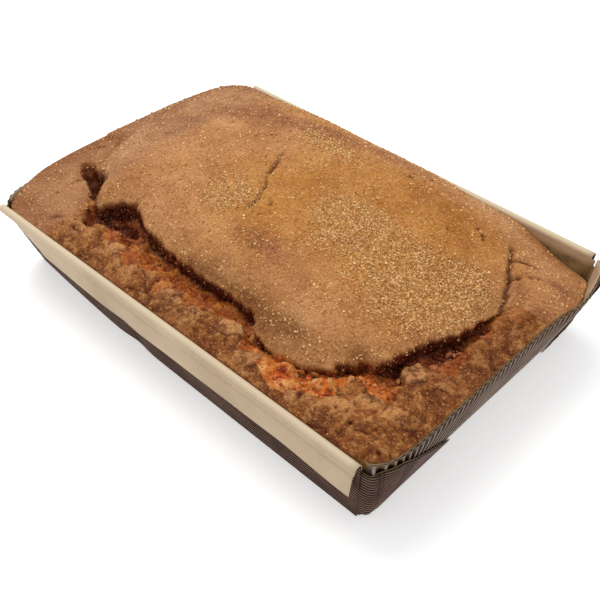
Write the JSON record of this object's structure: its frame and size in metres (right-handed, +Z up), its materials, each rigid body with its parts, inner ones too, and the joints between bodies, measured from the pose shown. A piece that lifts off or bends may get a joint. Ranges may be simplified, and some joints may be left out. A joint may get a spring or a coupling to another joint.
{
  "type": "coca in a paper baking tray",
  "caption": "sweet sponge coca with a sugared cinnamon-brown crust and one long curved crack, in its own folded corrugated paper baking tray",
  "frame": {"origin": "under the middle of the tray, on the surface that it stands on", "axes": "+X along the tray, +Y from the long side in front of the wide crack to the other long side, +Z up"},
  "size_m": [0.2485, 0.1693, 0.061],
  "materials": {
    "crust": "matt baked sponge crust with grains of sugar, moist orange-brown crumb in the crack",
    "paper": "single-face corrugated paper, brown flutes outside and a cream liner inside and on the rolled hems"
  },
  "bodies": {
    "root": {"cake": "crust", "tray": "paper"}
  },
  "joints": []
}
